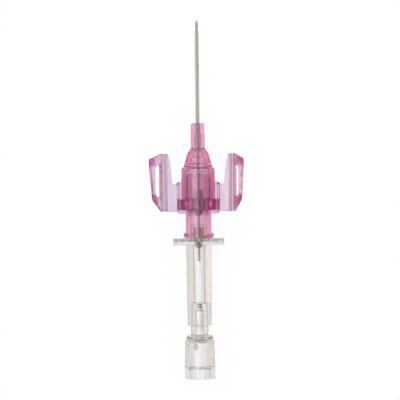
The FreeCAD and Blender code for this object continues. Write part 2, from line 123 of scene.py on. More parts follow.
# The light tent. Pale cloth all round, under the table too: bright straight below, dim and warm near
# the table's level, cooler above, with one wide softbox. The camera itself sees a plain white backdrop.
# The bands run from straight down, 0, past level, 0.5, to straight up, 1.
tent_bands = ((0.00, (0.82, 0.825, 0.86)), (0.10, (0.86, 0.85, 0.86)), (0.16, (0.90, 0.82, 0.74)),
              (0.225, (0.84, 0.73, 0.63)), (0.30, (0.64, 0.60, 0.56)), (0.40, (0.42, 0.40, 0.38)),
              (0.50, (0.28, 0.28, 0.29)), (0.50, (0.50, 0.41, 0.34)), (0.56, (0.66, 0.56, 0.47)),
              (0.625, (0.84, 0.81, 0.77)), (0.75, (0.88, 0.88, 0.89)), (1.00, (0.84, 0.85, 0.88)))
backdrop_white = (0.96, 0.96, 0.96, 1)
softbox_place = (-0.22, 0.10, 0.55)
softbox_width = 0.45
softbox_power = 1.2
tent_side = 0.7                 # sideways part of a direction at which the side tints end

tent = bpy.data.worlds.new("light_tent")
scene.world = tent
tent.use_nodes = True
nodes = tent.node_tree.nodes
nodes.clear()
output = nodes.new("ShaderNodeOutputWorld")
cloth = nodes.new("ShaderNodeBackground")
backdrop = nodes.new("ShaderNodeBackground")
choice = nodes.new("ShaderNodeMixShader")
path = nodes.new("ShaderNodeLightPath")
place = nodes.new("ShaderNodeTexCoord")
split = nodes.new("ShaderNodeSeparateXYZ")
side = nodes.new("ShaderNodeMapRange")
rise = nodes.new("ShaderNodeMapRange")
is_above = nodes.new("ShaderNodeMath")
height = banded(nodes, tent_bands)
tinted = banded(nodes, side_tints)
whole = nodes.new("ShaderNodeMix")
side.inputs["From Min"].default_value = -tent_side
side.inputs["From Max"].default_value = tent_side
rise.inputs["From Min"].default_value = -1.0
is_above.operation = "GREATER_THAN"
is_above.inputs[1].default_value = 0.0
whole.data_type = "RGBA"
whole.blend_type = "MULTIPLY"
backdrop.inputs["Color"].default_value = backdrop_white
linked(tent.node_tree,
       (place.outputs["Generated"], split.inputs[0]),
       (split.outputs["Z"], rise.inputs["Value"]),
       (rise.outputs["Result"], height.inputs["Fac"]),
       (split.outputs["Z"], is_above.inputs[0]),
       (is_above.outputs[0], whole.inputs["Factor"]),
       (split.outputs["X"], side.inputs["Value"]),
       (side.outputs["Result"], tinted.inputs["Fac"]),
       (height.outputs["Color"], whole.inputs["A"]),
       (tinted.outputs["Color"], whole.inputs["B"]),
       (whole.outputs["Result"], cloth.inputs["Color"]),
       (path.outputs["Is Camera Ray"], choice.inputs["Fac"]),
       (cloth.outputs[0], choice.inputs[1]),
       (backdrop.outputs[0], choice.inputs[2]),
       (choice.outputs[0], output.inputs["Surface"]))

lamp = bpy.data.lights.new("softbox", "AREA")
lamp.size = softbox_width
lamp.energy = softbox_power
softbox = bpy.data.objects.new("softbox", lamp)
softbox.location = softbox_place
softbox.rotation_euler = (-Vector(softbox_place)).to_track_quat("-Z", "Y").to_euler()
softbox.visible_camera = False
scene.collection.objects.link(softbox)

scene.view_settings.view_transform = "Standard"
scene.cycles.max_bounces = 32
scene.cycles.transmission_bounces = 32
scene.cycles.glossy_bounces = 12

# The camera looks straight down from well above, as a catalogue camera does over a table. The
# cannula lies a touch aslant in its picture.
picture_height = 104.6 * mm
lens_length = 200.0
film_width = 36.0
camera_x = 0.43 * mm
camera_y = 1.21 * mm
camera_roll = -0.61             # degrees
camera_data = bpy.data.cameras.new("camera")
camera_data.lens = lens_length
camera_data.sensor_width = film_width
camera_data.clip_start = 0.01
camera = bpy.data.objects.new("camera", camera_data)
tube_low, tube_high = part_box("catheter_tube")
axis_height = (tube_low.z + tube_high.z) / 2
camera.location = (camera_x, camera_y, axis_height + picture_height * lens_length / film_width)
camera.rotation_euler = (0, 0, math.radians(camera_roll))
scene.collection.objects.link(camera)
scene.camera = camera

# The catheter. An extruded fluoropolymer tube, drawn down to a soft conical tip and belled out at
# its rear over a metal funnel. It is milky, and the needle shows through it as warm grey.
luer_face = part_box("hub_socket")[0].y
round_steps = 5
crease = 32.0                   # degrees, the least turn of an edge that shows as an edge
contact = 0.005                 # overlap of clear pieces that touch all over, so no gap shows


def rear_and_front(node):
    """Rear and front end of a node, in millimetres ahead of the mouth of the luer socket."""
    low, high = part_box(node)
    return (low.y - luer_face) / mm, (high.y - luer_face) / mm


def half_width(node):
    """Half of a node's width across the needle, in millimetres."""
    low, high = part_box(node)
    return (high.x - low.x) / 2 / mm


def rounded(corners):
    """Points (radius, along) of an outline in millimetres. A third number rounds that corner."""
    points = []
    for number, corner in enumerate(corners):
        here = Vector(corner[:2])
        if len(corner) == 2:
            points.append(here)
            continue
        back = (Vector(corners[number - 1][:2]) - here).normalized()
        ahead = (Vector(corners[(number + 1) % len(corners)][:2]) - here).normalized()
        half = back.angle(ahead) / 2
        tangent = corner[2] / math.tan(half)
        middle = here + (back + ahead).normalized() * (corner[2] / math.sin(half))
        start = here + back * tangent - middle
        end = here + ahead * tangent - middle
        turn = start.angle(end)
        for step in range(round_steps + 1):
            share_end = math.sin(turn * step / round_steps) / math.sin(turn)
            share_start = math.sin(turn * (1 - step / round_steps)) / math.sin(turn)
            points.append(middle + start * share_start + end * share_end)
    return points


def spun(corners, segments=96, waves=None):
    """Mesh turned about the needle's axis. waves(radius, along, angle) may move a point in or out."""
    mesh = bmesh.new()
    outline = rounded(corners)
    rings = []
    for segment in range(segments):
        angle = 2 * math.pi * segment / segments
        ring = []
        for radius, along in outline:
            if waves:
                radius = waves(radius, along, angle)
            ring.append(mesh.verts.new((
                radius * math.cos(angle) * mm, luer_face + along * mm,
                axis_height + radius * math.sin(angle) * mm)))
        rings.append(ring)
    for segment in range(segments):
        ring, following = rings[segment - 1], rings[segment]
        for point in range(len(outline)):
            mesh.faces.new((ring[point - 1], ring[point], following[point], following[point - 1]))
    bmesh.ops.remove_doubles(mesh, verts=mesh.verts[:], dist=1e-8)
    bmesh.ops.recalc_face_normals(mesh, faces=mesh.faces[:])
    return mesh


def made(name, mesh, material, sharp=crease):
    """Object from a mesh, smooth but for the edges that turn by more than sharp degrees."""
    data = bpy.data.meshes.new(name)
    mesh.to_mesh(data)
    mesh.free()
    data.materials.append(material)
    data.shade_smooth()
    data.set_sharp_from_angle(angle=math.radians(sharp))
    piece = bpy.data.objects.new(name, data)
    scene.collection.objects.link(piece)
    return piece


def fitted(piece, node, body):
    """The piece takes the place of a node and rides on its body."""
    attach(piece, body)
    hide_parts(node)


# Moulded and extruded plastic is never quite flat: it has slow sink marks and fine flow lines.
flow_share = 0.12               # height of the flow lines against the sink marks
moulding = bpy.data.node_groups.new("moulding_marks", "ShaderNodeTree")
for name, value in (("Sink Size", 400.0), ("Fine Size", 3000.0), ("Gloss", 0.05), ("Haze", 0.05)):
    socket = moulding.interface.new_socket(name=name, in_out="INPUT", socket_type="NodeSocketFloat")
    socket.default_value = value
for name in ("Height", "Roughness"):
    moulding.interface.new_socket(name=name, in_out="OUTPUT", socket_type="NodeSocketFloat")
nodes = moulding.nodes
inputs = nodes.new("NodeGroupInput")
outputs = nodes.new("NodeGroupOutput")
place = nodes.new("ShaderNodeTexCoord")
sinks = nodes.new("ShaderNodeTexNoise")
flow = nodes.new("ShaderNodeTexNoise")
fine_share = nodes.new("ShaderNodeMath")
total = nodes.new("ShaderNodeMath")
hazed = nodes.new("ShaderNodeMath")
clouded = nodes.new("ShaderNodeMath")
fine_share.operation = "MULTIPLY"
fine_share.inputs[1].default_value = flow_share
hazed.operation = "MULTIPLY"
sinks.inputs["Detail"].default_value = 1.0
flow.inputs["Detail"].default_value = 3.0
linked(moulding,
       (place.outputs["Object"], sinks.inputs["Vector"]),
       (place.outputs["Object"], flow.inputs["Vector"]),
       (inputs.outputs["Sink Size"], sinks.inputs["Scale"]),
       (inputs.outputs["Fine Size"], flow.inputs["Scale"]),
       (flow.outputs["Fac"], fine_share.inputs[0]),
       (sinks.outputs["Fac"], total.inputs[0]),
       (fine_share.outputs[0], total.inputs[1]),
       (total.outputs[0], outputs.inputs["Height"]),
       (flow.outputs["Fac"], hazed.inputs[0]),
       (inputs.outputs["Haze"], hazed.inputs[1]),
       (hazed.outputs[0], clouded.inputs[0]),
       (inputs.outputs["Gloss"], clouded.inputs[1]),
       (clouded.outputs[0], outputs.inputs["Roughness"]))


# Some places on a moulding are given a darker colour: painted shade for how light bends in the plastic
# there, such as at a ribbed edge or a gate mark.
spot_start, spot_full = 1.15, 0.70      # where a spot begins and is whole, in its half sizes
spot = bpy.data.node_groups.new("painted_shade_spot", "ShaderNodeTree")
for name in ("Centre", "Size"):
    spot.interface.new_socket(name=name, in_out="INPUT", socket_type="NodeSocketVector")
spot.interface.new_socket(name="Mask", in_out="OUTPUT", socket_type="NodeSocketFloat")
nodes = spot.nodes
inputs = nodes.new("NodeGroupInput")
outputs = nodes.new("NodeGroupOutput")
place = nodes.new("ShaderNodeTexCoord")
offset = nodes.new("ShaderNodeVectorMath")
shrunk = nodes.new("ShaderNodeVectorMath")
reach = nodes.new("ShaderNodeVectorMath")
fade = nodes.new("ShaderNodeMapRange")
offset.operation = "SUBTRACT"
shrunk.operation = "DIVIDE"
reach.operation = "LENGTH"
fade.interpolation_type = "SMOOTHSTEP"
fade.inputs["From Min"].default_value = spot_start
fade.inputs["From Max"].default_value = spot_full
linked(spot,
       (place.outputs["Object"], offset.inputs[0]),
       (inputs.outputs["Centre"], offset.inputs[1]),
       (offset.outputs["Vector"], shrunk.inputs[0]),
       (inputs.outputs["Size"], shrunk.inputs[1]),
       (shrunk.outputs["Vector"], reach.inputs[0]),
       (reach.outputs["Value"], fade.inputs["Value"]),
       (fade.outputs["Result"], outputs.inputs["Mask"]))


def paint_shade(material, *spots):
    """Paints shade on places of a plastic as a darker colour, each spot (x, along, height, half sizes,
    colour) in millimetres.
    """
    nodes = material.node_tree.nodes
    base = nodes["Principled BSDF"].inputs["Base Color"]
    last = None
    for x, along, height, size, colour in spots:
        mask = nodes.new("ShaderNodeGroup")
        mask.node_tree = spot
        mask.inputs["Centre"].default_value = (x * mm, luer_face + along * mm, axis_height + height * mm)
        mask.inputs["Size"].default_value = [part * mm for part in size]
        mix = nodes.new("ShaderNodeMix")
        mix.data_type = "RGBA"
        mix.inputs["A"].default_value = base.default_value
        mix.inputs["B"].default_value = (*colour, 1)
        linked(material.node_tree, (mask.outputs["Mask"], mix.inputs["Factor"]))
        if last:
            linked(material.node_tree, (last, mix.inputs["A"]))
        last = mix.outputs["Result"]
    linked(material.node_tree, (last, base))


def plastic(name, colour, gloss, haze, relief, clear=1.0, refraction=1.5, tint=None, depth=0.0):
    """Moulded plastic. tint and depth give the colour that light takes on inside, per metre."""
    material = bpy.data.materials.new(name)
    material.use_nodes = True
    nodes = material.node_tree.nodes
    surface = nodes["Principled BSDF"]
    marks = nodes.new("ShaderNodeGroup")
    marks.node_tree = moulding
    marks.inputs["Gloss"].default_value = gloss
    marks.inputs["Haze"].default_value = haze
    bump = nodes.new("ShaderNodeBump")
    bump.inputs["Distance"].default_value = relief * mm
    surface.inputs["Base Color"].default_value = colour
    surface.inputs["IOR"].default_value = refraction
    surface.inputs["Transmission Weight"].default_value = clear
    linked(material.node_tree,
           (marks.outputs["Height"], bump.inputs["Height"]),
           (bump.outputs["Normal"], surface.inputs["Normal"]),
           (marks.outputs["Roughness"], surface.inputs["Roughness"]))
    if tint:
        inside = nodes.new("ShaderNodeVolumeAbsorption")
        inside.inputs["Color"].default_value = tint
        inside.inputs["Density"].default_value = depth
        linked(material.node_tree, (inside.outputs[0], nodes["Material Output"].inputs["Volume"]))
    return material


tube_film = plastic("catheter_film", (0.68, 0.67, 0.62, 1), gloss=0.16, haze=0.10, relief=0.004,
                    clear=0.65, refraction=1.35)
nose_face = rear_and_front("hub_front")[1]
tube_tip = rear_and_front("catheter_tube")[1]
funnel_rear, sleeve_front = rear_and_front("catheter_sleeve")
funnel_length = 0.9
funnel_front = funnel_rear + funnel_length
tube_radius = 0.55
tube_bore = 0.40
tip_radius = 0.45
tip_taper = 3.1
tip_sweep = 8.0                 # radius along the tube where the taper runs into it
bell_length = 0.45
bell_rise = 0.20
nose_bore = 0.54
sleeve_lead = 0.6
bell_spread = 0.31              # from the sleeve out to the bell's rim
swollen_wall = 0.11
sleeve_radius = half_width("catheter_tube") - bell_spread
swollen_radius = sleeve_radius + swollen_wall
catheter = made("tapered_catheter", spun([
    (tube_bore, tube_tip, 0.02),
    (tip_radius, tube_tip, 0.04),
    (tube_radius, tube_tip - tip_taper, tip_sweep),
    (tube_radius, nose_face),
    (nose_bore - contact, nose_face),
    (nose_bore - contact, sleeve_front + sleeve_lead),
    (swollen_radius, sleeve_front),
    (swollen_radius, funnel_front),
    (swollen_radius + bell_rise, funnel_front - bell_length),
    (sleeve_radius + bell_rise + 0.01, funnel_front - bell_length),
    (sleeve_radius + contact, funnel_front),
    (sleeve_radius + contact, sleeve_front),
    (tube_bore, sleeve_front + sleeve_lead),
], segments=48), tube_film)
fitted(catheter, "catheter_tube", "hub")

# The sleeve. A small funnel of drawn stainless steel that wedges the catheter into the nose and
# leads the needle in. Through the pink plastic it is the dark bar behind the tip.
sleeve_wall = 0.09
line_shade = 0.8                # darkest drawn line, as a share of the steel's colour
line_depth = 0.002
flare_radius = half_width("catheter_sleeve")


def steel(name, colour, gloss, streak, stretch):
    """Drawn stainless steel with fine lines along the piece."""
    material = bpy.data.materials.new(name)
    material.use_nodes = True
    nodes = material.node_tree.nodes
    surface = nodes["Principled BSDF"]
    place = nodes.new("ShaderNodeTexCoord")
    scaled = nodes.new("ShaderNodeMapping")
    lines = nodes.new("ShaderNodeTexNoise")
    shade = nodes.new("ShaderNodeValToRGB")
    polish = nodes.new("ShaderNodeMapRange")
    bump = nodes.new("ShaderNodeBump")
    scaled.inputs["Scale"].default_value = stretch
    lines.inputs["Scale"].default_value = 1.0
    lines.inputs["Detail"].default_value = 4.0
    shade.color_ramp.elements[0].color = [part * line_shade for part in colour[:3]] + [1]
    shade.color_ramp.elements[1].color = colour
    shade.color_ramp.elements[0].position = 0.3
    shade.color_ramp.elements[1].position = 0.7
    polish.inputs["To Min"].default_value = gloss
    polish.inputs["To Max"].default_value = gloss + streak
    bump.inputs["Distance"].default_value = line_depth * mm
    surface.inputs["Metallic"].default_value = 1.0
    linked(material.node_tree,
           (place.outputs["Object"], scaled.inputs["Vector"]),
           (scaled.outputs["Vector"], lines.inputs["Vector"]),
           (lines.outputs["Fac"], shade.inputs["Fac"]),
           (shade.outputs["Color"], surface.inputs["Base Color"]),
           (lines.outputs["Fac"], polish.inputs["Value"]),
           (polish.outputs["Result"], surface.inputs["Roughness"]),
           (lines.outputs["Fac"], bump.inputs["Height"]),
           (bump.outputs["Normal"], surface.inputs["Normal"]))
    return material


drawn_steel = steel("drawn_steel", (0.46, 0.44, 0.39, 1), gloss=0.22, streak=0.16,
                    stretch=(9000, 350, 9000))
# The funnel's steel is a darker copy of the drawn steel: painted shade for how dark it looks through the
# pink plastic.
funnel_steel_shade = steel("funnel_steel_shade", (0.30, 0.25, 0.27, 1), gloss=0.24, streak=0.16,
                     stretch=(9000, 350, 9000))
sleeve = made("catheter_funnel", spun([
    (sleeve_radius - sleeve_wall, sleeve_front),
    (sleeve_radius, sleeve_front, 0.03),
    (sleeve_radius, funnel_front, 0.3),
    (flare_radius, funnel_rear, 0.03),
    (flare_radius - sleeve_wall, funnel_rear),
    (sleeve_radius - sleeve_wall, funnel_front, 0.3),
], segments=48), funnel_steel_shade)
fitted(sleeve, "catheter_sleeve", "hub")

# The front hub. Nose, cone and round body in one moulding of transparent pink polypropylene,
# hollow, and flat underneath. Pink stands for 20 gauge.
pink = plastic("pink_polypropylene", (0.955, 0.90, 0.905, 1), gloss=0.07, haze=0.06, relief=0.008,
               clear=0.98, refraction=1.49, tint=(0.975, 0.32, 0.76, 1), depth=300.0)
nose_length = 6.5
crown_length = 1.3              # steep part between the nose and the cone
cone_length = 3.6
shoulder_length = 0.5
nose_radius, nose_root_radius = 1.76, 1.85
cone_front_radius, cone_rear_radius = 2.75, 3.80
cavity_rear_radius, cavity_step = 2.45, 1.9
cavity_front_radius, cavity_length = 1.70, 3.7
funnel_seat_rear, funnel_seat_front = 1.17, 1.08
funnel_play = 0.02
nose_root = nose_face - nose_length
cone_front = nose_root - crown_length
shoulder_front = cone_front - cone_length
shoulder_rear = shoulder_front - shoulder_length
collar_front = rear_and_front("hub_front")[0]
septum_front = rear_and_front("septum")[1]
body_radius = half_width("hub_front")
seat_radius = half_width("septum") - contact
# The nose's sides and front face are painted a deeper pink: painted shade for the dark edges that light
# bending in the nose gives.
nose_edge_shade = (0.62, 0.36, 0.52)
paint_shade(pink,
       (-nose_root_radius, nose_face - 3.2, 0.0, (0.32, 3.4, 1.3), nose_edge_shade),
       (nose_root_radius, nose_face - 3.2, 0.0, (0.32, 3.4, 1.3), nose_edge_shade),
       (0.0, nose_face, 0.0, (2.4, 0.36, 2.4), nose_edge_shade))
hub_shell = spun([
    (nose_bore - contact, nose_face),
    (nose_radius, nose_face, 0.28),
    (nose_radius, nose_face - 0.6),
    (nose_root_radius, nose_root, 0.35),
    (cone_front_radius, cone_front, 0.8),
    (cone_rear_radius, shoulder_front, 0.35),
    (body_radius, shoulder_rear, 0.3),
    (body_radius, collar_front, 0.1),
    (seat_radius, collar_front),
    (seat_radius, septum_front),
    (cavity_rear_radius, septum_front, 0.08),
    (cavity_rear_radius, septum_front + cavity_step, 0.7),
    (cavity_front_radius, septum_front + cavity_step, 0.4),
    (cavity_front_radius, septum_front + cavity_length, 0.5),
    (funnel_seat_rear, septum_front + cavity_length),
    (funnel_seat_front, funnel_rear),
    (swollen_radius + funnel_play, funnel_front),
    (swollen_radius + funnel_play, sleeve_front),
    (nose_bore - contact, sleeve_front + sleeve_lead),
], segments=128)
for point in hub_shell.verts:
    point.co.z = max(point.co.z, 0.0)
bmesh.ops.dissolve_degenerate(hub_shell, dist=1e-7, edges=hub_shell.edges[:])
front = made("front_hub_shell", hub_shell, pink)
fitted(front, "hub_front", "hub")

# The socket hub. A luer socket with two slanted lugs for a locking nut, and behind the seal the
# chamber in which the valve opener slides.
luer_mouth = 2.15
luer_slope = 0.03               # of the radius, for each unit of length
luer_depth = 8.0
luer_lead_in = 0.15
socket_radius = 3.35
socket_front = rear_and_front("hub_socket")[1]
throat_radius = 1.82
chamber_radius = 2.40
chamber_depth = 6.4
chamber_rear = socket_front - chamber_depth
lug_radius = half_width("hub_socket")
lug_band = 1.44
lug_half_width = 0.475
lug_slant = math.tan(math.radians(11.5))
lug_reach = 70                  # degrees to each side of the widest place
lug_sink = 0.25                 # depth of a lug's root in the tube's wall
lug_chamfer = 0.12
lug_crest = 0.72                # width of a lug's crest against its root


def joined(piece, other, operation):
    """Cuts with, or adds, another object for good and removes it."""
    carve = piece.modifiers.new("carve", "BOOLEAN")
    carve.solver = "EXACT"
    carve.operation = operation
    carve.object = other
    graph = bpy.context.evaluated_depsgraph_get()
    data = bpy.data.meshes.new_from_object(piece.evaluated_get(graph))
    piece.modifiers.clear()
    piece.data = data
    data.shade_smooth()
    data.set_sharp_from_angle(angle=math.radians(crease))
    bpy.data.objects.remove(other)


def lug(side, steps=28):
    """One locking lug: a slanted band round the left (-1) or right (+1) of the tube."""
    mesh = bmesh.new()
    sections = []
    for step in range(steps + 1):
        angle = math.radians(lug_reach * (2 * step / steps - 1))
        section = []
        for radius, edge in ((socket_radius - lug_sink, -1), (lug_radius - lug_chamfer, -1),
                             (lug_radius, -lug_crest), (lug_radius, lug_crest),
                             (lug_radius - lug_chamfer, 1), (socket_radius - lug_sink, 1)):
            height = radius * math.sin(angle)
            along = lug_band / 2 + edge * lug_half_width - side * height * lug_slant
            along = min(max(along, 0.0), lug_band)
            section.append(mesh.verts.new((
                side * radius * math.cos(angle) * mm, luer_face + along * mm, axis_height + height * mm)))
        sections.append(section)
    for step in range(steps):
        near, far = sections[step], sections[step + 1]
        for corner in range(len(near)):
            mesh.faces.new((near[corner - 1], near[corner], far[corner], far[corner - 1]))
    mesh.faces.new(sections[0])
    mesh.faces.new(sections[-1][::-1])
    bmesh.ops.recalc_face_normals(mesh, faces=mesh.faces[:])
    return made("lug", mesh, pink)


socket = made("luer_socket_shell", spun([
    (luer_mouth + luer_lead_in, 0.0),
    (socket_radius, 0.0, 0.2),
    (socket_radius, socket_front, 0.06),
    (chamber_radius, socket_front, 0.06),
    (chamber_radius, chamber_rear, 0.1),
    (throat_radius, chamber_rear, 0.08),
    (throat_radius, luer_depth, 0.08),
    (luer_mouth - luer_slope * luer_depth, luer_depth, 0.1),
    (luer_mouth - luer_slope * luer_lead_in, luer_lead_in, 0.2),
], segments=128), pink)
joined(socket, lug(-1), "UNION")
joined(socket, lug(1), "UNION")
fitted(socket, "hub_socket", "hub")

# The septum. A pale silicone disc, slit for the needle and clamped by its rim between the two
# hubs. Its rim is the bright ring round the front of the body.
silicone = plastic("silicone", (0.99, 0.97, 0.98, 1), gloss=0.22, haze=0.12, relief=0.01,
                   clear=0.88, refraction=1.41)
septum_rear = rear_and_front("septum")[0]
septum_core = 1.95
septum_rim = half_width("septum")
septum_slit = 0.37
septum_play = 0.01
dimple_radius, dimple_depth = 1.10, 0.35
septum = made("valve_septum", spun([
    (septum_slit, septum_rear),
    (septum_core, septum_rear, 0.25),
    (septum_core, socket_front, 0.1),
    (septum_rim, socket_front, 0.08),
    (septum_rim, septum_front - septum_play, 0.08),
    (dimple_radius, septum_front - septum_play, 0.1),
    (septum_slit, septum_front - dimple_depth),
], segments=96), silicone)
fitted(septum, "septum", "hub")

# The valve opener. A milky plunger that a syringe's nose pushes through the septum. The needle
# guard rides in its bore until the needle is drawn out.
milky = plastic("milky_polypropylene", (0.98, 0.97, 0.98, 1), gloss=0.14, haze=0.10, relief=0.01,
                refraction=1.06)
opener_rear, opener_front = rear_and_front("valve_opener")
opener_neck_length = 4.3
opener_taper = 1.2
opener_tip = 1.50
tip_bore_length = 2.2
bore_taper = 0.4
opener_shoulder = opener_rear + opener_neck_length
opener_wide_front = opener_front - opener_taper
tip_bore_rear = opener_front - tip_bore_length
opener_radius = half_width("valve_opener")
opener_neck = 1.76
opener_bore = 1.30
opener_tip_bore = 0.75
# A deeper pink is painted close round the opener's axis, mostly on its bore: painted shade for the dark
# band down its middle.
paint_shade(milky, (0.0, (opener_rear + opener_front) / 2, 0.0, (1.6, 9.0, 1.6), (0.90, 0.55, 0.80)))
opener = made("opener_plunger", spun([
    (opener_bore, opener_rear, 0.1),
    (opener_neck, opener_rear, 0.15),
    (opener_neck, opener_shoulder, 0.1),
    (opener_radius, opener_shoulder, 0.1),
    (opener_radius, opener_wide_front, 0.35),
    (opener_tip, opener_front, 0.15),
    (opener_tip_bore, opener_front, 0.05),
    (opener_tip_bore, tip_bore_rear, 0.2),
    (opener_bore, tip_bore_rear - bore_taper, 0.2),
], segments=96), milky)
fitted(opener, "valve_opener", "opener")

# The needle guard. One strip of spring steel folded into a clip, with a hole in its rear wall for
# the needle and two arms whose lips spring shut over the tip.


def softened(name, node, material, width, sharp=crease, clamped=True, shape=None):
    """Copy of a node with its edges broken by a fine bevel. shape(mesh) may change it first."""
    mesh = bmesh.new()
    mesh.from_mesh(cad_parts[node].data)
    bmesh.ops.remove_doubles(mesh, verts=mesh.verts[:], dist=1e-5)
    bmesh.ops.dissolve_limit(mesh, angle_limit=math.radians(0.5), verts=mesh.verts[:], edges=mesh.edges[:])
    if shape:
        shape(mesh)
    edges = [edge for edge in mesh.edges if len(edge.link_faces) == 2
             and edge.calc_face_angle() > math.radians(sharp)]
    bmesh.ops.bevel(mesh, geom=edges, offset=width * mm, offset_type="OFFSET", segments=2, profile=0.5,
                    affect="EDGES", clamp_overlap=clamped)
    return made(name, mesh, material, sharp)


spring_steel = steel("spring_steel", (0.20, 0.16, 0.24, 1), gloss=0.30, streak=0.12,
                     stretch=(6000, 500, 6000))
guard = softened("spring_guard", "needle_guard", spring_steel, 0.02)
fitted(guard, "needle_guard", "guard")

# The needle. A drawn steel tube, ground to a bevel that faces up, with a flattened crimp behind
# the tip that the guard catches, and an open rear end in the flash chamber.
needle = softened("ground_needle", "needle", drawn_steel, 0.006, sharp=28.0)
fitted(needle, "needle", "needle_unit")

# The glue. A cone of cured resin, grey-brown, that fills the well round the needle.
resin = plastic("cured_resin", (0.86, 0.80, 0.75, 1), gloss=0.32, haze=0.15, relief=0.01,
                clear=0.92, refraction=1.5, tint=(0.72, 0.62, 0.56, 1), depth=500.0)
# The glue's rear is painted darker: painted shade for how light bends at the bottom of the well.
paint_shade(resin, (0.0, -2.3, 0.0, (1.5, 1.1, 1.5), (0.42, 0.34, 0.36)))
needle_radius = 0.362
glue_rear, glue_front = rear_and_front("needle_adhesive")
well_throat = -1.35
well_throat_radius = 1.05
well_waist_radius = 1.125
glue_play = 0.02
glue_front_radius = half_width("needle_adhesive")
glue = made("glue_cone", spun([
    (needle_radius, glue_front),
    (glue_front_radius, glue_front),
    (well_waist_radius + contact, 0.0),
    (well_throat_radius + contact, well_throat, 0.3),
    (needle_radius, glue_rear + glue_play),
], segments=64), resin)
fitted(glue, "needle_adhesive", "needle_unit")

# The needle hub. Clear moulding with a luer nose in front, a push-off plate for the fingertip, a
# long flash chamber and a second luer socket for the plug.
clear = plastic("clear_polycarbonate", (1, 1, 1, 1), gloss=0.02, haze=0.03, relief=0.006,
                refraction=1.58, tint=(0.84, 0.83, 0.78, 1), depth=90.0)
# Painted shade on the clear plastic where light bends in it: a grey band across the front of the plate, a
# greyer stretch along the plug's bore, a near-black spot at the plug's tip, a grey band at the plug's top
# and a dark patch in the gate mark.
paint_shade(clear,
       (0.0, -0.50, 0.0, (9.0, 0.50, 9.0), (0.66, 0.66, 0.65)),
       (0.0, -21.8, 0.0, (1.4, 3.6, 1.4), (0.80, 0.80, 0.79)),
       (0.0, -17.75, 0.0, (0.95, 0.85, 0.95), (0.16, 0.17, 0.17)),
       (0.0, -26.05, 0.0, (2.9, 0.75, 9.0), (0.70, 0.70, 0.68)),
       (-1.15, -28.25, 3.8, (0.72, 1.15, 0.60), (0.42, 0.43, 0.44)))
barrel_rear, nose_tip = rear_and_front("needle_hub")
plate_half = half_width("needle_hub")
plate_half_height = 3.75
plate_corner = 1.6
plate_front = -0.05
plate_step = -0.95
plate_rear = -1.80
plate_inset = 0.12
plate_corner_steps = 8
rim_bevel = 0.05
groove_pitch = 0.65
groove_half = 0.23
groove_depth = 0.28
barrel_front_radius = 3.31
barrel_rear_radius = 3.10
chamber_bore = 1.30
rear_socket_depth = 6.0
rear_mouth_radius = 2.30
chamber_end = barrel_rear + rear_socket_depth
boss_root = -1.7
boss_radius, boss_tip_radius = 1.15, 0.55
nose_play = 0.01
well_rim = 0.06                 # from the glue out to the nose's rim
plate_hole = 2.60
groove_floor = 0.03             # half width of a groove's floor
groove_count = 7                # to each side of the middle
plate_overlap = 0.02


def slab(half, half_height, corner, rear, front, grooves=0):
    """Rounded plate across the needle. It has this many grooves to each side, above and below."""
    outline = []
    for turn in range(4):
        sign_x = 1 if turn in (0, 3) else -1
        sign_z = 1 if turn in (0, 1) else -1
        for step in range(plate_corner_steps + 1):
            angle = math.radians(90 * turn + 90 * step / plate_corner_steps)
            outline.append((sign_x * (half - corner) + corner * math.cos(angle),
                            sign_z * (half_height - corner) + corner * math.sin(angle)))
        if turn in (0, 2) and grooves:
            for number in range(-grooves, grooves + 1):
                for offset, depth in ((-groove_half, 0), (-groove_floor, groove_depth),
                                      (groove_floor, groove_depth), (groove_half, 0)):
                    outline.append((-sign_z * (number * groove_pitch + offset),
                                    sign_z * (half_height - depth)))
    mesh = bmesh.new()
    back = [mesh.verts.new((x * mm, luer_face + rear * mm, axis_height + z * mm)) for x, z in outline]
    face = [mesh.verts.new((x * mm, luer_face + front * mm, axis_height + z * mm)) for x, z in outline]
    for number in range(len(outline)):
        mesh.faces.new((back[number - 1], back[number], face[number], face[number - 1]))
    rims = [mesh.faces.new(back[::-1]), mesh.faces.new(face)]
    bmesh.ops.recalc_face_normals(mesh, faces=mesh.faces[:])
    rim_edges = {edge for rim in rims for edge in rim.edges}
    bmesh.ops.bevel(mesh, geom=list(rim_edges), offset=rim_bevel * mm, offset_type="OFFSET", segments=2,
                    profile=0.5, affect="EDGES", clamp_overlap=True)
    return made("slab", mesh, clear)


hub = made("clear_needle_hub", spun([
    (glue_front_radius + well_rim, nose_tip, 0.06),
    (luer_mouth - luer_slope * nose_tip - nose_play, nose_tip, 0.25),
    (luer_mouth - nose_play * 2, 0.0),
    (luer_mouth - nose_play * 2, plate_front),
    (barrel_front_radius, plate_front),
    (barrel_front_radius, plate_rear, 0.3),
    (barrel_rear_radius, barrel_rear, 0.22),
    (rear_mouth_radius, barrel_rear, 0.1),
    (luer_mouth - luer_slope * luer_lead_in, barrel_rear + luer_lead_in, 0.2),
    (luer_mouth - luer_slope * rear_socket_depth, chamber_end, 0.05),
    (chamber_bore, chamber_end, 0.1),
    (chamber_bore, boss_root, 0.1),
    (boss_radius, boss_root, 0.05),
    (boss_tip_radius, glue_rear, 0.1),
    (needle_radius, glue_rear),
    (well_throat_radius, well_throat),
    (well_waist_radius, 0.0),
], segments=128), clear)
plate = slab(plate_half, plate_half_height, plate_corner, plate_step, plate_front, groove_count)
joined(plate, slab(plate_half - plate_inset, plate_half_height - plate_inset, plate_corner - 0.1,
                   plate_rear, plate_step + plate_overlap), "UNION")
hole = made("hole", spun([
    (0.0, plate_rear - 1.0),
    (plate_hole, plate_rear - 1.0),
    (plate_hole, plate_front + 1.0),
    (0.0, plate_front + 1.0),
]), clear)
joined(plate, hole, "DIFFERENCE")
joined(hub, plate, "UNION")
fitted(hub, "needle_hub", "needle_unit")

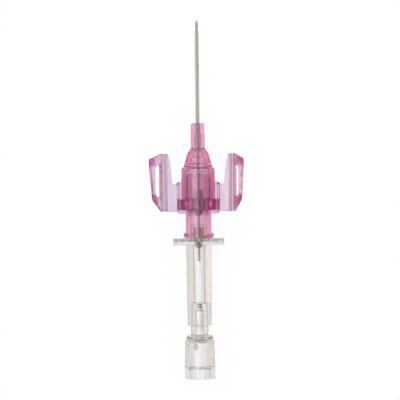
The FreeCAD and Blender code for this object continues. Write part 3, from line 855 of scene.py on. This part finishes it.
# The flash plug. Clear, with a luer taper in front, a fluted grip and a wide cavity that blood
# fills slowly while air leaves by the filter. A round gate mark shows on the grip.
spigot_rear, plug_front = rear_and_front("flash_plug")
plug_rear = rear_and_front("filter_ring")[1]
grip_length = 6.5
top_length = 1.5
top_rim = 0.8
neck_gap = 0.3
grip_front = plug_rear + grip_length
plug_shoulder = grip_front + top_length
cavity_front = grip_front
neck_front = barrel_rear - neck_gap
plug_bore = 0.90
throat_bore = 0.60
plug_neck = 2.30
plug_top = 3.45
grip_front_radius = 3.82
grip_rear_radius = half_width("flash_plug")
cavity_radius = 2.50
spigot_radius = 3.29
filter_seat_radius = half_width("vent_filter")
filter_seat_depth = 0.5
throat_length = 1.6
throat_taper = 0.4
plug_tip_radius = luer_mouth - luer_slope * (plug_front - barrel_rear) - nose_play * 2
flute_count = 24
flute_depth = 0.06
flute_run_out = 0.35
flute_margin = 0.1
flute_start = 0.6               # how far into the run-out a flute begins, as a share of it
gate_mark_radius = 1.6
gate_mark_place = (-1.15, -28.25, 5.15)


def fluted(radius, along, angle):
    """Shallow round flutes along the grip that run out before its ends."""
    on_grip = plug_rear + flute_margin <= along <= grip_front - flute_margin
    if radius < grip_front_radius - flute_margin or not on_grip:
        return radius
    reach_in = min(grip_front - along, along - plug_rear) / flute_run_out
    dip = max(0.0, math.cos(angle * flute_count)) ** 2
    return radius - flute_depth * dip * min(max(reach_in - flute_start, 0.0), 1.0)


def grip_radius(along):
    """Radius of the conical grip at a place along it."""
    share = (grip_front - along) / (grip_front - plug_rear)
    return grip_front_radius + (grip_rear_radius - grip_front_radius) * share


flute_steps = (0.22, 0.45, 0.60)        # from the ends of the grip
grip_places = ([grip_front - step for step in flute_steps]
               + [plug_rear + step for step in reversed(flute_steps)])
plug = made("fluted_plug", spun([
    (throat_bore, plug_front, 0.08),
    (plug_tip_radius, plug_front, 0.25),
    (luer_mouth + luer_slope * neck_gap - nose_play * 2, neck_front, 0.05),
    (plug_neck, neck_front, 0.05),
    (plug_neck, plug_shoulder, 0.1),
    (plug_top, plug_shoulder, 0.45),
    (plug_top, plug_shoulder - top_rim, 0.1),
    (grip_front_radius, grip_front, 0.2),
] + [(grip_radius(along), along) for along in grip_places] + [
    (grip_rear_radius, plug_rear, 0.06),
    (spigot_radius, plug_rear),
    (spigot_radius, spigot_rear, 0.06),
    (filter_seat_radius, spigot_rear),
    (filter_seat_radius, spigot_rear + filter_seat_depth),
    (cavity_radius, spigot_rear + filter_seat_depth, 0.08),
    (cavity_radius, cavity_front, 0.6),
    (plug_bore, cavity_front, 0.1),
    (plug_bore, plug_front - throat_length - throat_taper, 0.1),
    (throat_bore, plug_front - throat_length, 0.1),
], segments=192, waves=fluted), clear)
gate = bmesh.new()
bmesh.ops.create_icosphere(gate, subdivisions=4, radius=gate_mark_radius * mm)
gate_x, gate_along, gate_height = gate_mark_place
for point in gate.verts:
    point.co += Vector((gate_x * mm, luer_face + gate_along * mm, axis_height + gate_height * mm))
joined(plug, made("gate", gate, clear), "DIFFERENCE")
fitted(plug, "flash_plug", "plug")

# The vent filter. A pressed disc of porous white polymer that lets air out and keeps blood in. It
# lies in a seat in the plug's open rear end.
porous = plastic("porous_polymer", (0.97, 0.97, 0.96, 1), gloss=0.35, haze=0.3, relief=0.05,
                 clear=0.95, refraction=1.10)
vent_rear, vent_front = rear_and_front("vent_filter")
vent_play = 0.01
vent_radius = filter_seat_radius - vent_play
vent = made("porous_filter", spun([
    (0.0, vent_rear),
    (vent_radius, vent_rear, 0.04),
    (vent_radius, vent_front - vent_play, 0.04),
    (0.0, vent_front - vent_play),
], segments=64), porous)
fitted(vent, "vent_filter", "plug")

# The filter ring. A clear moulding pressed over the plug's rear end, as wide as the grip. A ledge
# inside it holds the filter in its seat.
ring_rear = rear_and_front("filter_ring")[0]
ring_radius = half_width("filter_ring")
ring_play = 0.01
ring = made("plug_end_ring", spun([
    (spigot_radius + ring_play, plug_rear - ring_play),
    (ring_radius, plug_rear - ring_play, 0.12),
    (ring_radius, ring_rear, 0.18),
    (cavity_radius, ring_rear, 0.15),
    (cavity_radius, spigot_rear - ring_play, 0.05),
    (spigot_radius + ring_play, spigot_rear - ring_play),
], segments=128), clear)
fitted(ring, "filter_ring", "plug")

# The saddle and the wings. One pink moulding on the real thing: an arch over the socket, two base
# panels, and beyond each fold an outer panel with a long slot, which the thumb and finger pinch.
# The panel plastic has painted shade in its colour: a darker pink on steep faces such as the bevelled
# edges, darker still as an outline on the panels out from the arch, and a deeper mauve on the outer strips
# next to the folds.
panel_colour = (0.95, 0.82, 0.93, 1)
edge_shade_colour = (0.52, 0.20, 0.46, 1)
outline_shade_colour = (0.14, 0.06, 0.13, 1)
outline_start = 4.9             # from the needle outwards, where the panels' darker outline begins
rib_shade_colour = (0.66, 0.50, 0.66, 1)
rib_start = 8.33
rib_blur, outline_blur = 0.03, 0.1
steep, level = 0.70, 0.96       # upward part of a face's direction on an edge and on the flat
pink_tint = (0.983, 0.567, 0.817, 1)
pink_depth = 300.0

panel_pink = plastic("pink_panel_plastic", panel_colour, gloss=0.10, haze=0.06, relief=0.008,
                     refraction=1.49, tint=pink_tint, depth=pink_depth)
nodes = panel_pink.node_tree.nodes
place = nodes.new("ShaderNodeTexCoord")
facing = nodes.new("ShaderNodeSeparateXYZ")
flatness = nodes.new("ShaderNodeMath")
on_edge = nodes.new("ShaderNodeMapRange")
parts = nodes.new("ShaderNodeSeparateXYZ")
away = nodes.new("ShaderNodeMath")
on_rib = nodes.new("ShaderNodeMapRange")
on_panel = nodes.new("ShaderNodeMapRange")
ribbed = nodes.new("ShaderNodeMix")
edge_shade_tone = nodes.new("ShaderNodeMix")
outlined = nodes.new("ShaderNodeMix")
flatness.operation = "ABSOLUTE"
away.operation = "ABSOLUTE"
for reading, start, end in ((on_edge, level, steep),
                            (on_rib, (rib_start - rib_blur) * mm, (rib_start + rib_blur) * mm),
                            (on_panel, outline_start * mm, (outline_start + outline_blur) * mm)):
    reading.inputs["From Min"].default_value = start
    reading.inputs["From Max"].default_value = end
for mix, usual, other in ((ribbed, panel_colour, rib_shade_colour), (edge_shade_tone, edge_shade_colour, outline_shade_colour),
                          (outlined, panel_colour, edge_shade_colour)):
    mix.data_type = "RGBA"
    mix.inputs["A"].default_value = usual
    mix.inputs["B"].default_value = other
linked(panel_pink.node_tree,
       (place.outputs["Normal"], facing.inputs[0]),
       (facing.outputs["Z"], flatness.inputs[0]),
       (flatness.outputs[0], on_edge.inputs["Value"]),
       (place.outputs["Object"], parts.inputs[0]),
       (parts.outputs["X"], away.inputs[0]),
       (away.outputs[0], on_rib.inputs["Value"]),
       (away.outputs[0], on_panel.inputs["Value"]),
       (on_rib.outputs["Result"], ribbed.inputs["Factor"]),
       (on_panel.outputs["Result"], edge_shade_tone.inputs["Factor"]),
       (ribbed.outputs["Result"], outlined.inputs["A"]),
       (edge_shade_tone.outputs["Result"], outlined.inputs["B"]),
       (on_edge.outputs["Result"], outlined.inputs["Factor"]),
       (outlined.outputs["Result"], nodes["Principled BSDF"].inputs["Base Color"]))
panel_front = rear_and_front("wing_platform")[1]
panel_half = half_width("wing_platform")
corner_length = 4.5
corner_cuts = 7
cut_turn = 11.0                 # degrees round the corner from one cut to the next
least_width = 0.15              # share of the panel's width that is left at its front end
kept_rim = 0.75                 # strip along the fold that keeps its full length
platform_bevel = 0.12
wing_bevel = 0.14
bore_reach = 0.05               # the saddle's bore lies no further than this outside the socket


def corners_rounded(mesh):
    """Gives the front end of each base panel its long round inner corner."""
    for step in range(corner_cuts):
        share = math.sin(math.radians(cut_turn * step))
        along = luer_face + (panel_front - corner_length * (1 - share)) * mm
        bmesh.ops.bisect_plane(mesh, geom=mesh.verts[:] + mesh.edges[:] + mesh.faces[:], dist=1e-6,
                               plane_co=(0, along, 0), plane_no=(0, 1, 0))
    for point in mesh.verts:
        share = ((point.co.y - luer_face) / mm - panel_front + corner_length) / corner_length
        if share > 0:
            beyond = (panel_half - kept_rim) * mm - abs(point.co.x)
            if beyond > 0:
                narrowed = beyond * max(math.sqrt(max(1 - share ** 2, 0.0)), least_width)
                point.co.x = math.copysign((panel_half - kept_rim) * mm - narrowed, point.co.x)


platform = softened("saddle_and_panels", "wing_platform", panel_pink, platform_bevel, clamped=False,
                    shape=corners_rounded)
platform_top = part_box("wing_platform")[1].z
for point in platform.data.vertices:
    upward = point.co.z - axis_height
    reach = math.hypot(point.co.x, upward) / mm
    point.co.z = min(max(point.co.z, 0.0), platform_top)
    if socket_radius < reach < socket_radius + bore_reach:
        point.co.x *= (socket_radius - contact) / reach
        point.co.z = axis_height + upward * (socket_radius - contact) / reach
fitted(platform, "wing_platform", "hub")

wing_pink = plastic("pink_wing_plastic", (0.98, 0.80, 0.90, 1), gloss=0.22, haze=0.08, relief=0.008,
                    clear=0.97, refraction=1.30, tint=pink_tint, depth=pink_depth)
# The wings' end corners are painted a deeper pink: painted shade for the dark end faces seen at a slant.
corner_shade_colour = (0.73, 0.28, 0.57)
paint_shade(wing_pink,
       (-12.2, 20.0, 0.0, (1.0, 1.4, 9.0), corner_shade_colour),
       (-11.6, 9.9, 0.0, (1.0, 1.9, 9.0), corner_shade_colour),
       (10.9, 20.2, 0.0, (1.3, 1.4, 9.0), corner_shade_colour),
       (10.8, 9.8, 0.0, (1.3, 2.0, 9.0), corner_shade_colour))
for name, node, body in (("right_wing_panel", "right_wing", "wing_right"),
                         ("left_wing_panel", "left_wing", "wing_left")):
    wing = softened(name, node, wing_pink, wing_bevel, clamped=False)
    fitted(wing, node, body)
